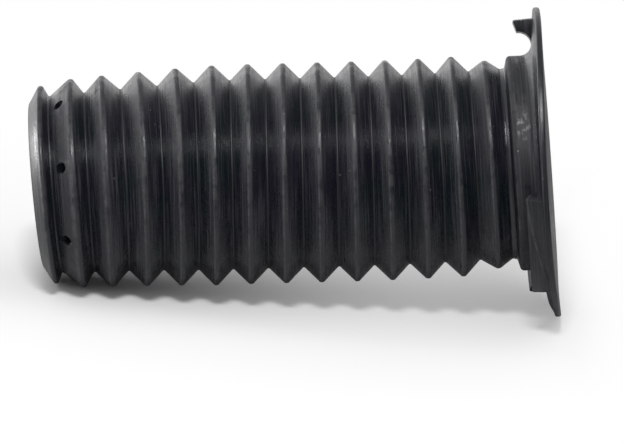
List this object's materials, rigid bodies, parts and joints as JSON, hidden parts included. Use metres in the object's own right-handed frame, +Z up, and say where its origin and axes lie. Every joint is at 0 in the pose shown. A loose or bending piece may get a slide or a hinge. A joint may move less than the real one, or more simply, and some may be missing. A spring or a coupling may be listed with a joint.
{
  "type": "rubber bellows boot",
  "caption": "Rubber dust boot for a suspension strut: a thin-walled bellows tube with a collar and a wide flange with hooked lugs.",
  "frame": {"origin": "middle of the footprint, on the surface that the boot lies on", "axes": "+X from the small end towards the flange, +Y away from the viewer, +Z up; the boot's own axis rises 6.2 degrees towards the flange"},
  "size_m": [0.1705, 0.0986, 0.0979],
  "materials": {
    "black_rubber": "semi-gloss moulded rubber"
  },
  "bodies": {
    "root": {"bellows_boot": "black_rubber"}
  },
  "joints": []
}
